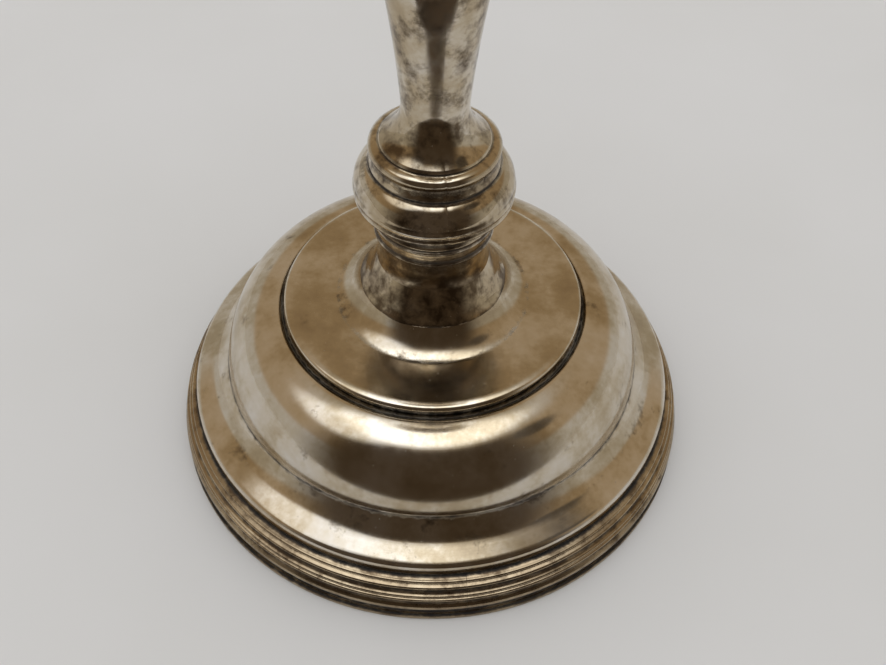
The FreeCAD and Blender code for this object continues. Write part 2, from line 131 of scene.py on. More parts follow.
class FinishSettings(bpy.types.PropertyGroup):
    """Colours of the worn plate."""
    silver: FloatVectorProperty(
        name="Silver", description="Bright plate on the worn crests", subtype="COLOR_GAMMA",
        size=3, min=0, max=1, default=(0.87, 0.845, 0.81))
    straw: FloatVectorProperty(
        name="Straw tarnish", description="Thin yellow sulphide film", subtype="COLOR_GAMMA",
        size=3, min=0, max=1, default=(0.78, 0.72, 0.61))
    brown: FloatVectorProperty(
        name="Brown tarnish", description="Thick brown film and base metal showing through",
        subtype="COLOR_GAMMA", size=3, min=0, max=1, default=(0.54, 0.46, 0.36))
    # this black is painted shade in creases and corners as well as polish residue
    grime_and_shade: FloatVectorProperty(
        name="Grime", description="Black polish residue in the hollows", subtype="COLOR_GAMMA",
        size=3, min=0, max=1, default=(0.10, 0.08, 0.06))


class StageSettings(bpy.types.PropertyGroup):
    """Camera and floor."""
    lens: FloatProperty(
        name="Lens", description="Focal length on a 36 mm wide sensor, in millimetres",
        default=44.7, min=10, max=200)
    height: FloatProperty(
        name="Camera height", description="Height of the lens over the floor",
        default=0.3112, unit="LENGTH")
    distance: FloatProperty(
        name="Camera distance", description="Level distance from the lens to the stem's axis",
        default=0.2384, unit="LENGTH")
    pitch: FloatProperty(
        name="Pitch", description="How far the camera looks down", default=math.radians(49.12),
        subtype="ANGLE")
    yaw: FloatProperty(
        name="Yaw", description="How far the camera looks past the axis to the right",
        default=math.radians(0.86), subtype="ANGLE")
    roll: FloatProperty(
        name="Roll", description="Turn of the camera about its line of sight",
        default=math.radians(1.48), subtype="ANGLE")
    floor_size: FloatProperty(
        name="Table width", description="Width of the table top", default=8.0, unit="LENGTH")
    front_edge: FloatProperty(
        name="Front edge", description="Distance from the axis to the front edge of the table",
        default=0.13, unit="LENGTH")
    detail: IntProperty(
        name="Segments", description="Most segments round a turned piece", default=400, min=32)


# ---------------------------------------------------------------- profiles

TRACE_STEP = 0.05           # mm between the first, close samples of an outline
EDGE_WEAR = 0.16            # mm, spread of the smoothing that rounds every sharp edge
HOLLOW_WIDTH = 1.3          # mm, width over which a hollow counts as a hollow
HOLLOW_DEPTH = 0.30         # mm, depth of a hollow that is black all over


def trace(points, closed=True):
    """Even samples of an outline of (radius, height[, bulge]) points, in millimetres.

    Each stretch is a chord plus bulge times half the chord's length times the arc's height
    profile, worked out on the circle through its ends and its crown.
    """
    rows = []
    count = len(points)
    for index in range(count if closed else count - 1):
        start = points[index]
        end = points[(index + 1) % count]
        first = np.array(start[:2], float)
        last = np.array(end[:2], float)
        bulge = start[2] if len(start) > 2 else 0.0
        chord = last - first
        length = np.hypot(*chord)
        steps = max(2, int(length * (1 + abs(bulge)) / TRACE_STEP))
        t = np.arange(steps)[:, None] / steps
        if bulge:
            half = 2 * math.atan(bulge)
            radius = length / (2 * math.sin(half))
            side = np.array([chord[1], -chord[0]]) / length
            middle = (first + last) / 2 - side * radius * math.cos(half)
            turn = half * (2 * t - 1)
            along = chord / length
            rows.append(middle + radius * (np.cos(turn) * side + np.sin(turn) * along))
        else:
            rows.append(first + t * chord)
    return np.concatenate(rows)


def blurred(path, width):
    """Closed path smoothed by a bell curve of the given spread in millimetres, by its spectrum."""
    step = np.hypot(*(np.roll(path, -1, 0) - path).T).mean()
    waves = np.fft.fftfreq(len(path), step)
    bell = np.exp(-2 * (math.pi * waves * width) ** 2)
    return np.real(np.fft.ifft(np.fft.fft(path, axis=0) * bell[:, None], axis=0))


def profile(points, grime_and_shade_at=(), coarse=1.4, turn_step=10.0):
    """Outline as arrays: radius, height, outward normal, hollow and crest, closely set on curves.

    Hollow is how far the outline lies inside a wide smoothing of itself, crest how far it lies
    outside, and each listed (radius, height, width) corner adds a bell to the hollow value. That
    value is painted black: polish residue, and painted shade in the creases and corners.
    """
    path = trace(points)
    path = blurred(path, EDGE_WEAR)
    ahead = np.roll(path, -1, 0) - np.roll(path, 1, 0)
    length = np.hypot(*ahead.T)
    tangent = ahead / length[:, None]
    normal = np.stack([tangent[:, 1], -tangent[:, 0]], 1)
    bend = np.cross(np.roll(tangent, 1, 0), np.roll(tangent, -1, 0)) / 2
    bend = np.abs(blurred(np.stack([bend, bend], 1), EDGE_WEAR)[:, 0])
    depth = ((blurred(path, HOLLOW_WIDTH) - path) * normal).sum(1) / HOLLOW_DEPTH
    # black in the hollows and at the listed corners: polish residue and painted shade
    grime_and_shade = np.clip(depth, 0, 1)
    for radius, height, width in grime_and_shade_at:
        away = np.hypot(path[:, 0] - radius, path[:, 1] - height)
        grime_and_shade = np.maximum(grime_and_shade, np.exp(-(away / width) ** 2))
    density = length / 2 / coarse + np.degrees(bend) / turn_step
    reach = np.cumsum(density)
    count = int(reach[-1]) + 8
    places = np.linspace(reach[0], reach[-1], count, endpoint=False)

    def pick(values):
        return np.interp(places, reach, values)

    columns = [path[:, 0], path[:, 1], normal[:, 0], normal[:, 1], grime_and_shade, np.clip(-depth, 0, 1)]
    return np.stack([pick(column) for column in columns])


def waver(radius, height, angle, depth, seed):
    """Inward drift of hand-worked sheet, from 0 to depth: a few long waves of random phase."""
    random = np.random.default_rng(seed)
    total = np.zeros(np.broadcast(radius, angle).shape)
    for _ in range(9):
        turns = random.integers(1, 8)
        pitch = 2 * math.pi / random.uniform(18, 60)
        shift = random.uniform(0, 2 * math.pi)
        total += np.cos(turns * angle + pitch * (height - radius) + shift) / 9
    return depth * (0.5 - 0.5 * total)


# ---------------------------------------------------------------- meshes

def put_mesh(name, places, quads, caps, marks):
    """Object from an array of places in millimetres, quads, end caps and point attributes."""
    mesh = bpy.data.meshes.new(name)
    counts = np.concatenate([np.full(len(quads), 4), [len(cap) for cap in caps]]).astype(np.int32)
    corners = np.concatenate([quads.ravel(), *caps]).astype(np.int32)
    mesh.vertices.add(len(places))
    mesh.vertices.foreach_set("co", (places * MM).astype(np.float32).ravel())
    mesh.loops.add(len(corners))
    mesh.loops.foreach_set("vertex_index", corners)
    mesh.polygons.add(len(counts))
    mesh.polygons.foreach_set("loop_start", (np.cumsum(counts) - counts).astype(np.int32))
    mesh.update(calc_edges=True)
    mesh.polygons.foreach_set("use_smooth", np.arange(len(counts)) < len(quads))
    cut = np.zeros(len(places), bool)
    for cap in caps:
        cut[cap] = True
    ends = np.empty(2 * len(mesh.edges), np.int32)
    mesh.edges.foreach_get("vertices", ends)
    mesh.edges.foreach_set("use_edge_sharp", cut[ends].reshape(-1, 2).all(axis=1))
    for mark, values in marks.items():
        layer = mesh.attributes.new(mark, "FLOAT", "POINT")
        layer.data.foreach_set("value", values.astype(np.float32).ravel())
    mesh.validate()
    piece = bpy.data.objects.new(name, mesh)
    bpy.context.scene.collection.objects.link(piece)
    return piece


def lathe(name, points, grime_and_shade_at=(), start=0.0, sweep=2 * math.pi, shape=None, **detail):
    """Closed profile carried round the axis from the angle start (measured from -Y towards +X).

    Place (profile, angle) = (r sin a, -r cos a, z), with r and z moved inwards along the
    profile's normal by shape(r, z, a). A sweep short of a full turn gets a flat cap at each end.
    """
    r, z, nr, nz, hollow, crest = profile(points, grime_and_shade_at, **detail)
    most = bpy.context.scene.candle_stage.detail
    around = int(np.clip(2 * math.pi * r.max() / 1.3, 150, most) * sweep / (2 * math.pi))
    full = sweep > 2 * math.pi - 1e-6
    angle = start + np.arange(around if full else around + 1) * sweep / around
    r, z, nr, nz = (values[:, None] for values in (r, z, nr, nz))
    angle = angle[None, :]
    sunk = shape(r, z, angle) if shape else np.zeros((len(r), angle.shape[1]))
    radius = r - nr * sunk
    height = z - nz * sunk + 0 * angle
    places = np.stack([radius * np.sin(angle), -radius * np.cos(angle), height], -1)
    rows, columns = radius.shape
    index = np.arange(rows * columns).reshape(rows, columns)
    up = np.roll(index, -1, 0)
    if full:
        beside = np.roll(index, -1, 1)
        corners = [index, beside, np.roll(beside, -1, 0), up]
        caps = []
    else:
        corners = [index[:, :-1], index[:, 1:], up[:, 1:], up[:, :-1]]
        caps = [index[:, 0], index[::-1, -1]]
    quads = np.stack([corner.ravel() for corner in corners], 1)
    # the hollow mark carries the painted shade and polish residue of creases and corners
    marks = {"hollow": hollow[:, None] + 0 * angle, "crest": crest[:, None] + 0 * angle}
    return put_mesh(name, places.reshape(-1, 3), quads, caps, marks)


def finish_piece(piece, material, body, slot, *nodes):
    """Material, body and the nodes that the piece stands for. The slot argument is not used."""
    piece.data.materials.append(material)
    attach(piece, body)
    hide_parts(*nodes)


# ---------------------------------------------------------------- materials

def linear(colour):
    """sRGB hex text or triple turned to linear light with an alpha of 1."""
    if isinstance(colour, str):
        colour = [int(colour[place:place + 2], 16) / 255 for place in (1, 3, 5)]
    values = np.array(colour[:], float)
    light = np.where(values <= 0.04045, values / 12.92, ((values + 0.055) / 1.055) ** 2.4)
    return (*light.tolist(), 1.0)


def add(tree, kind, inputs=None, **settings):
    """Adds a node, sets its settings, and gives each input a value or a link."""
    made = tree.nodes.new(kind)
    for key, value in settings.items():
        setattr(made, key, value)
    for key, value in (inputs or {}).items():
        if isinstance(value, bpy.types.NodeSocket):
            tree.links.new(value, made.inputs[key])
        else:
            made.inputs[key].default_value = value
    return made


def new_material(name):
    """Empty node material with its output node."""
    material = bpy.data.materials.new(name)
    material.use_nodes = True
    tree = material.node_tree
    tree.nodes.clear()
    return material, tree, tree.nodes.new("ShaderNodeOutputMaterial")


def ramp(tree, value, low, high, bottom=0.0, top=1.0):
    """Value carried from low..high to bottom..top, held at the ends."""
    return add(tree, "ShaderNodeMapRange",
               {0: value, 1: low, 2: high, 3: bottom, 4: top}).outputs[0]


def mixed(tree, amount, under, over):
    """Colour between under and over."""
    made = add(tree, "ShaderNodeMix", {0: amount, 6: under, 7: over}, data_type="RGBA")
    return made.outputs[2]


def sums(tree, kind, *values):
    """Math node of the given kind on one to three values."""
    return add(tree, "ShaderNodeMath", dict(enumerate(values)), operation=kind).outputs[0]


def grain(tree, vector, size_mm, detail=3.0, rough=0.55):
    """Noise whose lumps are about size_mm across, as a value."""
    made = add(tree, "ShaderNodeTexNoise",
               {"Vector": vector, "Scale": 1 / (size_mm * MM), "Detail": detail,
                "Roughness": rough})
    return made.outputs["Fac"]


def worn_silver_plate(name, tarnish, patches, polish):
    """Silver plate on brass, spun or struck, polished for a century and gone yellow again.

    Silver keeps the crests bright, a straw and brown sulphide film lies in clouds, dark patches
    of old tarnish cling where the cloth never reaches and are painted a little heavier in the
    hollows as shade, black lies in the hollows as polish residue and painted shade, and fine
    rings run round the piece from turning and rubbing. tarnish moves the clouds, patches sets how
    much of the piece is dark, polish is the lowest roughness.
    """
    material, tree, output = new_material(name)
    colours = bpy.context.scene.candle_finish
    place = add(tree, "ShaderNodeTexCoord").outputs["Object"]
    hollow = add(tree, "ShaderNodeAttribute", attribute_name="hollow").outputs["Fac"]
    crest = add(tree, "ShaderNodeAttribute", attribute_name="crest").outputs["Fac"]
    clouds = grain(tree, place, 20, 4.0, 0.6)
    blots = grain(tree, place, 9, 6.0, 0.68)
    mottle = grain(tree, place, 2.6, 4.0, 0.65)
    specks = grain(tree, place, 0.7, 2.0, 0.5)
    # rings of turning and rubbing: noise on (radius, height), slightly broken up round the piece
    parts = add(tree, "ShaderNodeSeparateXYZ", {0: place})
    level = add(tree, "ShaderNodeCombineXYZ", {0: parts.outputs[0], 1: parts.outputs[1]})
    radius = add(tree, "ShaderNodeVectorMath", {0: level.outputs[0]}, operation="LENGTH")
    broken = sums(tree, "MULTIPLY", mottle, 0.0006)
    ring_place = add(tree, "ShaderNodeCombineXYZ", {
        0: sums(tree, "ADD", radius.outputs["Value"], broken), 1: parts.outputs[2]})
    rings = grain(tree, ring_place.outputs[0], 0.5, 2.0, 0.7)

    # yellow and brown film in soft clouds
    film = sums(tree, "ADD", sums(tree, "MULTIPLY", clouds, 0.8),
                sums(tree, "MULTIPLY", mottle, 0.2))
    film = sums(tree, "SUBTRACT", film, sums(tree, "MULTIPLY", crest, 0.05))
    straw = ramp(tree, film, 0.32 - tarnish, 0.60 - tarnish)
    brown = ramp(tree, film, 0.48 - tarnish, 0.78 - tarnish, 0.0, 0.7)
    colour = mixed(tree, straw, linear(colours.silver), linear(colours.straw))
    colour = mixed(tree, brown, colour, linear(colours.brown))
    # old dark patches with ragged edges, heavier in the hollows as painted shade, then black in the
    # hollows (polish residue and painted shade) and in pits
    ragged = sums(tree, "SUBTRACT", mottle, 0.5)
    sheltered_and_shaded = sums(tree, "MULTIPLY_ADD", hollow, 0.22, blots)
    sheltered_and_shaded = sums(tree, "MULTIPLY_ADD", ragged, 0.25, sheltered_and_shaded)
    dark = ramp(tree, sheltered_and_shaded, 0.62 - patches, 0.80 - patches, 0.0, 0.85)
    colour = mixed(tree, dark, colour, linear("#4A3A2A"))
    black = ramp(tree, sums(tree, "MULTIPLY_ADD", ragged, 0.9, hollow), 0.42, 1.0)
    pits = ramp(tree, specks, 0.74, 0.79, 0.0, 0.8)
    black = sums(tree, "MAXIMUM", black, pits)
    colour = mixed(tree, black, colour, linear(colours.grime_and_shade))

    # duller where it is dark, and a relief finer than a hair
    shine = sums(tree, "ADD", ramp(tree, mottle, 0.3, 0.8, polish, polish + 0.09),
                 sums(tree, "MULTIPLY", dark, 0.10))
    shine = sums(tree, "MULTIPLY_ADD", black, 0.35, shine)
    relief = sums(tree, "ADD", sums(tree, "MULTIPLY", rings, 0.20),
                  sums(tree, "MULTIPLY", mottle, 0.30))
    relief = sums(tree, "SUBTRACT", relief, sums(tree, "MULTIPLY", black, 0.6))
    bump = add(tree, "ShaderNodeBump", {"Strength": 0.35, "Distance": 0.00004, "Height": relief})
    metal = sums(tree, "SUBTRACT", 1.0, sums(tree, "MULTIPLY", black, 0.8))
    shader = add(tree, "ShaderNodeBsdfPrincipled", {
        "Base Color": colour, "Metallic": metal, "Roughness": shine,
        "Normal": bump.outputs[0]})
    tree.links.new(shader.outputs[0], output.inputs[0])
    return material


def plain_metal(name, light, dark, size_mm, shine, relief_mm):
    """Bare metal: two tones in clouds of size_mm, with a relief of relief_mm."""
    material, tree, output = new_material(name)
    place = add(tree, "ShaderNodeTexCoord").outputs["Object"]
    clouds = grain(tree, place, size_mm, 4.0, 0.6)
    fine = grain(tree, place, size_mm / 8, 3.0, 0.6)
    tone = ramp(tree, sums(tree, "ADD", clouds, sums(tree, "MULTIPLY", fine, 0.3)), 0.45, 0.85)
    bump = add(tree, "ShaderNodeBump",
               {"Strength": 0.6, "Distance": relief_mm * MM, "Height": fine})
    shader = add(tree, "ShaderNodeBsdfPrincipled", {
        "Base Color": mixed(tree, tone, linear(light), linear(dark)), "Metallic": 1.0,
        "Roughness": ramp(tree, fine, 0.3, 0.7, shine, shine + 0.2), "Normal": bump.outputs[0]})
    tree.links.new(shader.outputs[0], output.inputs[0])
    return material


def coated_metal(name, light, dark, size_mm, shine, relief_mm):
    """Japanned or sand-cast surface without a metallic shine."""
    material = plain_metal(name, light, dark, size_mm, shine, relief_mm)
    material.node_tree.nodes["Principled BSDF"].inputs["Metallic"].default_value = 0.0
    return material


def wool_baize(name):
    """Green wool baize, fulled and cropped: short fibres give a soft edge glow and no gloss."""
    material, tree, output = new_material(name)
    place = add(tree, "ShaderNodeTexCoord").outputs["Object"]
    nap = grain(tree, place, 0.5, 4.0, 0.7)
    worn = grain(tree, place, 18, 3.0, 0.6)
    colour = mixed(tree, ramp(tree, nap, 0.3, 0.7), linear("#1F4A2E"), linear("#386B45"))
    colour = mixed(tree, ramp(tree, worn, 0.5, 0.8, 0.0, 0.5), colour, linear("#5B6B48"))
    bump = add(tree, "ShaderNodeBump", {"Strength": 0.8, "Distance": 0.0002, "Height": nap})
    shader = add(tree, "ShaderNodeBsdfPrincipled", {
        "Base Color": colour, "Roughness": 0.95, "Sheen Weight": 0.35, "Sheen Roughness": 0.5,
        "Normal": bump.outputs[0]})
    tree.links.new(shader.outputs[0], output.inputs[0])
    return material


def pale_paper(name):
    """Matt pale table top with a very faint mottle."""
    material, tree, output = new_material(name)
    place = add(tree, "ShaderNodeTexCoord").outputs["Object"]
    cloud = grain(tree, place, 120, 3.0, 0.5)
    colour = mixed(tree, ramp(tree, cloud, 0.3, 0.7), linear("#DFDDDB"), linear("#DBD9D6"))
    shader = add(tree, "ShaderNodeBsdfPrincipled", {"Base Color": colour, "Roughness": 0.75})
    tree.links.new(shader.outputs[0], output.inputs[0])
    return material


MATERIALS = {}


def plate(kind):
    """Worn plate, made once for each part of the candlestick."""
    # name, tarnish, patches, polish
    kinds = {
        "foot": ("worn_silver_plate_foot", 0.03, 0.0, 0.11),
        # reeding: more tarnish and dark patches, partly real tarnish and partly painted dark
        # reflection on the reeds
        "rim": ("worn_silver_plate_reeding_shade_darkened", 0.28, 0.11, 0.17),
        "top": ("worn_silver_plate_top", 0.06, -0.02, 0.13),
        "stem": ("worn_silver_plate_stem", 0.06, 0.13, 0.07),
        # cove: more dark patches, partly tarnish and partly painted dark reflection of the plate round
        # the stem foot
        "cove": ("worn_silver_plate_cove_shade_darkened", 0.10, 0.20, 0.09),
        "head": ("worn_silver_plate_head", 0.0, 0.04, 0.11),
    }
    if kind not in MATERIALS:
        MATERIALS[kind] = worn_silver_plate(*kinds[kind])
    return MATERIALS[kind]


# ---------------------------------------------------------------- operators

# crest inset from the foot's radius, height of the crest, half of the reed's height
REEDS = ((0.10, 6.30, 1.45), (0.80, 9.75, 0.60), (1.20, 11.30, 0.60), (2.40, 14.15, 0.75),
         (3.50, 15.95, 0.65))
SKIRT_INSET = 1.3           # skirt of the dome inside the lower step
RIM_GAP = 0.1               # butt joint of the reeded strip
RIM_GAP_ANGLE = math.radians(8.0)

# the dome's two steps, from the reeding inwards
EDGE_RISE = 3.2             # upright edge of the lower step
ROLL_WIDTH = 1.1            # rounded corner over it
ROLL_RISE = 1.8
TREAD_WIDTH = 5.8
SHOULDER_WIDTH = 4.3        # steep start of the upper step
SHOULDER_RISE = 14.6
CROWN_WIDTH = 0.8           # from the highest line to the fall to the shelf
CROWN_DROP = 0.4
FALL_WIDTH = 0.6
SHELF_LAP = 6.0             # shelf under the top plate

# the top plate and the stem
FLANGE_INSET = 1.3
PLATE_EDGE = 2.8            # height of the rolled edge
MOUND_RADIUS = 30.0
MOUND_RISE = 6.9            # from the plate to the lap of the stem foot
LAP_EDGE = LAP_OUTER - 0.6
MOUND_MOUTH = LAP_EDGE - 2.7
STEM_FOOT_RADIUS = 16.5
KNOP_LIP = 22.9
SPIGOT_PLAY = 0.2
ROD_HOLE = 3.3
SEAM_GROOVE = 0.16          # depth of the open seam on the knop
SEAM_GROOVE_WIDTH = 0.3
SEAM_FADE = 6.0             # how far from the seam the left half comes back to true


class CANDLE_OT_foot(bpy.types.Operator):
    """Builds the plinth ring, reeded rim, stepped dome and top plate"""
    bl_idname = "candle.foot"
    bl_label = "Foot"

    def execute(self, context):
        sizes = context.scene.candle_foot
        depth = sizes.waver / MM
        self.ring(depth)
        self.rim(sizes.reed_depth / MM)
        self.dome(sizes, depth)
        self.top_plate(depth)
        return {"FINISHED"}

    def ring(self, depth):
        edge = 0.6
        inner = PAD_RADIUS + 0.2
        outline = [
            (inner, FLOOR), (FOOT_RADIUS - edge, FLOOR, 0.41), (FOOT_RADIUS, FLOOR + edge),
            (FOOT_RADIUS, RING_TOP - edge, 0.41), (FOOT_RADIUS - edge, RING_TOP),
            (inner, RING_TOP)]
        # black bell at the ring's top edge under the reeding: polish residue and painted shade in that
        # corner
        piece = lathe("plinth_ring", outline, [(FOOT_RADIUS - 0.5, RING_TOP, 0.7)],
                      shape=lambda r, z, a: waver(r, z, a, depth * 0.4, 3))
        finish_piece(piece, plate("rim"), "stand", "silver_plate", "base_ring")

    def rim(self, reed_depth):
        skirt = LOWER_STEP_RADIUS - SKIRT_INSET
        points = [(skirt, RING_TOP), (FOOT_RADIUS - REEDS[0][0] - reed_depth, RING_TOP)]
        for inset, height, half in REEDS:
            valley = FOOT_RADIUS - inset - reed_depth
            points.append((valley, height - half, reed_depth / half))
            points.append((valley, height + half))
        points += [(LOWER_STEP_RADIUS, RIM_TOP), (skirt, RIM_TOP)]
        half_gap = RIM_GAP / 2 / FOOT_RADIUS
        # black bells where the reeding meets the ring and the dome: polish residue and painted shade
        # in the corners
        piece = lathe("reeded_rim", points,
                      [(FOOT_RADIUS - 1, RING_TOP + 1.4, 1.2), (LOWER_STEP_RADIUS, RIM_TOP, 1.0)],
                      start=RIM_GAP_ANGLE + half_gap, sweep=2 * math.pi - 2 * half_gap,
                      shape=lambda r, z, a: waver(r, z, a, 0.12, 5))
        finish_piece(piece, plate("rim"), "stand", "silver_plate", "foot_rim")

    def dome(self, sizes, depth):
        skirt = LOWER_STEP_RADIUS - SKIRT_INSET
        crease = (sizes.crease_radius / MM, sizes.crease_height / MM)
        crown = (sizes.crown_radius / MM, UPPER_STEP_TOP)
        edge = RIM_TOP + EDGE_RISE
        roll = (LOWER_STEP_RADIUS - ROLL_WIDTH, edge + ROLL_RISE)
        tread = (roll[0] - TREAD_WIDTH, roll[1] + sizes.tread_slope / MM)
        shoulder = (crease[0] - SHOULDER_WIDTH, crease[1] + SHOULDER_RISE)
        fall = crown[0] - CROWN_WIDTH
        end = PLATE_RADIUS - SHELF_LAP
        outline = [
            (skirt, RING_TOP + SHEET), (skirt, RIM_TOP), (LOWER_STEP_RADIUS, RIM_TOP),
            (LOWER_STEP_RADIUS, edge, 0.3), roll, (*tread, -0.08), (*crease, 0.12),
            (*shoulder, 0.24), crown, (fall, crown[1] - CROWN_DROP),
            (fall - FALL_WIDTH, SHELF), (end, SHELF), (end, SHELF - SHEET),
            (fall, SHELF - SHEET), (crown[0], crown[1] - SHEET, -0.24),
            (shoulder[0] - SHEET, shoulder[1] - SHEET / 2, -0.12),
            (crease[0] - SHEET, crease[1] - SHEET / 2, 0.08),
            (tread[0] - SHEET / 2, tread[1] - SHEET), (roll[0] - SHEET, roll[1] - SHEET),
            (skirt - SHEET, edge - SHEET), (skirt - SHEET, RING_TOP + SHEET)]
        # black bells where the dome meets the reeding and under the top plate's rolled edge: polish
        # residue and painted shade in the trench
        grime_and_shade_at = [(LOWER_STEP_RADIUS, RIM_TOP, 0.8), (crown[0] - 1.6, SHELF + 0.2, 0.8)]
        piece = lathe("stepped_dome", outline, grime_and_shade_at,
                      shape=lambda r, z, a: waver(r, z, a, depth, 11))
        finish_piece(piece, plate("foot"), "stand", "silver_plate", "foot_dome")

    def top_plate(self, depth):
        flange = PLATE_RADIUS - FLANGE_INSET
        top = LAP_FOOT - MOUND_RISE
        outline = [
            (flange - SHEET, SHELF), (flange, SHELF), (flange, top - PLATE_EDGE, 0.9),
            (flange, top - 0.2, 0.1), (flange - 1.8, top), (MOUND_RADIUS, top + 0.1, -0.2),
            (LAP_EDGE, LAP_FOOT), (MOUND_MOUTH, MOUND_TOP), (MOUND_MOUTH - SHEET, MOUND_TOP),
            (LAP_EDGE - SHEET, LAP_FOOT - SHEET / 2, 0.2),
            (MOUND_RADIUS - SHEET / 2, top - SHEET), (flange - SHEET, top - SHEET)]
        # black bell under the rolled edge on the shelf: painted shade in the trench and polish residue
        grime_and_shade_at = [(flange, SHELF, 2.2)]
        piece = lathe("top_plate_shell", outline, grime_and_shade_at,
                      shape=lambda r, z, a: waver(r, z, a, depth, 17))
        finish_piece(piece, plate("top"), "stand", "silver_plate", "top_plate")


class CANDLE_OT_stem(bpy.types.Operator):
    """Builds the stem foot, the turned neck and the two struck halves of the stem"""
    bl_idname = "candle.stem"
    bl_label = "Stem"

    def execute(self, context):
        sizes = context.scene.candle_stem
        self.stem_foot()
        self.neck()
        self.halves(sizes)
        return {"FINISHED"}

    def stem_foot(self):
        outer = STEM_FOOT_RADIUS
        inner = outer - SHEET
        outline = [
            (LAP_EDGE, LAP_FOOT), (LAP_OUTER, LAP_FOOT + 0.3),
            (LAP_OUTER - 0.24, LAP_FOOT + 0.6, -0.22), (outer, STEM_FOOT_TOP - 4),
            (outer, STEM_FOOT_TOP), (inner, STEM_FOOT_TOP), (inner, STEM_FOOT_TOP - 7),
            (MOUND_MOUTH, MOUND_TOP)]

        def ragged(r, z, a):
            near_edge = np.exp(-((z - LAP_FOOT) / 1.6) ** 2)
            wave = 0.5 + 0.22 * np.sin(5 * a + 1) + 0.16 * np.sin(9 * a + 2.2) \
                + 0.12 * np.sin(17 * a + 0.4)
            return waver(r, z, a, 0.1, 23) + 0.35 * near_edge * wave

        # black bell at the lap edge: polish residue and painted shade in the corner under the lap
        piece = lathe("lapped_stem_foot", outline, [(LAP_EDGE, LAP_FOOT, 0.8)], shape=ragged)
        finish_piece(piece, plate("cove"), "stand", "silver_plate", "stem_foot")

    def neck(self):
        base = STEM_FOOT_TOP
        low_spigot = STEM_FOOT_RADIUS - SHEET - SPIGOT_PLAY
        neck = 18.2
        hole = ROD_HOLE
        high_spigot = KNOP_LIP - SHEET - SPIGOT_PLAY
        outline = [
            (hole, base - 4), (low_spigot, base - 4), (low_spigot, base),
            (neck - 0.9, base + 0.2, 0.9), (neck - 0.9, base + 1.6), (neck - 0.8, base + 2.0),
            (neck, base + 5.9), (neck - 0.6, base + 6.5, 0.8), (neck - 0.6, base + 8.3, -0.3),
            (NECK_OUTER, NECK_TOP), (high_spigot, NECK_TOP), (high_spigot, SPIGOT_TOP),
            (hole, SPIGOT_TOP)]
        # black bells in the neck's grooves and a wide one under the knop: polish residue and painted
        # shade
        grime_and_shade_at = [(neck - 1, base + 1.8, 0.8), (neck - 0.6, base + 6.3, 0.7),
                    (neck - 1, base, 1.2), (neck + 0.4, base + 10.5, 2.2)]
        piece = lathe("turned_neck", outline, grime_and_shade_at,
                      shape=lambda r, z, a: waver(r, z, a, 0.08, 29))
        finish_piece(piece, plate("stem"), "stand", "silver_plate", "neck_piece")

    def halves(self, sizes):
        knop = sizes.knop_radius / MM
        collar = sizes.collar_radius / MM
        neck = sizes.shaft_neck / MM
        swell = sizes.shaft_max / MM
        step = sizes.seam_step / MM
        crease = 0.25
        lip = KNOP_LIP
        lip_top = NECK_TOP + 1.6
        equator = NECK_TOP + 5.1
        knop_top = NECK_TOP + 11.5
        fillet = 18.8
        collar_top = NECK_TOP + 19.1
        flare = 16.2
        neck_height = NECK_TOP + 33.2
        middle = (12.85, NECK_TOP + 62.2)
        swell_height = SHAFT_TOP - 20
        mouth = 10.4
        outline = [
            (lip - SHEET, NECK_TOP), (lip, NECK_TOP, 0.4), (lip, lip_top),
            (lip - crease, lip_top + crease), (knop - 0.5, lip_top + 2 * crease, 0.28),
            (knop - 0.5, equator - crease), (knop - 0.6, equator),
            (knop - 0.45, equator + crease, 0.28), (fillet, knop_top),
            (fillet - 0.4, knop_top + crease), (fillet - 0.4, knop_top + 0.7),
            (fillet, knop_top + 0.9), (fillet, knop_top + 1.4, -0.35),
            (collar - 0.3, collar_top - 2.7), (collar, collar_top - 2.4),
            (collar, collar_top - 1.6, 0.4), (collar - 1.7, collar_top - 0.1),
            (flare - 0.6, collar_top), (flare - 0.9, collar_top + 0.2),
            (flare - 0.1, collar_top + 0.4), (flare, collar_top + 0.8, -0.3),
            (neck, neck_height, -0.02), (*middle, 0.03), (swell, swell_height, 0.42),
            (mouth, SHAFT_TOP - 2), (mouth, SHAFT_TOP), (mouth - SHEET, SHAFT_TOP),
            (mouth - SHEET, SHAFT_TOP - 2 - SHEET / 2, -0.4), (swell - SHEET, swell_height, -0.03),
            (middle[0] - SHEET, middle[1]), (neck - SHEET, neck_height, 0.25),
            (flare - 3 * SHEET, collar_top), (collar - 2 - SHEET, collar_top - SHEET - 0.6),
            (collar - 1.4 - SHEET, knop_top + 1.2), (fillet - SHEET, knop_top - SHEET, -0.25),
            (knop - 0.8 - SHEET, equator - SHEET / 2), (lip - SHEET, lip_top)]
        # black bells at the knop's lip, the fillet, under the collar and at the flare's foot: polish
        # residue and painted shade
        grime_and_shade_at = [(lip, NECK_TOP, 0.5), (fillet - 0.4, knop_top + 0.5, 0.8),
                    (collar - 1.5, knop_top + 3, 1.3), (flare - 0.9, collar_top + 0.2, 0.7)]
        for name, node, start, back in (
                ("stem_right", "stem_half_right", 0.0, 0.0),
                ("stem_left", "stem_half_left", math.pi, step)):
            seam = sizes.seam_angle + start

            def shape(r, z, a, back=back, seam=seam):
                edge = np.minimum(a - seam, seam + math.pi - a) * r
                groove = SEAM_GROOVE * np.exp(-(edge / SEAM_GROOVE_WIDTH) ** 2)
                # the seam is filed flush from a little over the collar upwards
                left_open = 1 / (1 + np.exp((z - collar_top - 3) / 2))
                return waver(r, z, a, 0.10, 31) + left_open * (
                    back * np.exp(-edge / SEAM_FADE) + groove)

            piece = lathe(name, outline, grime_and_shade_at, start=seam, sweep=math.pi, shape=shape)
            finish_piece(piece, plate("stem"), "stand", "silver_plate", node)


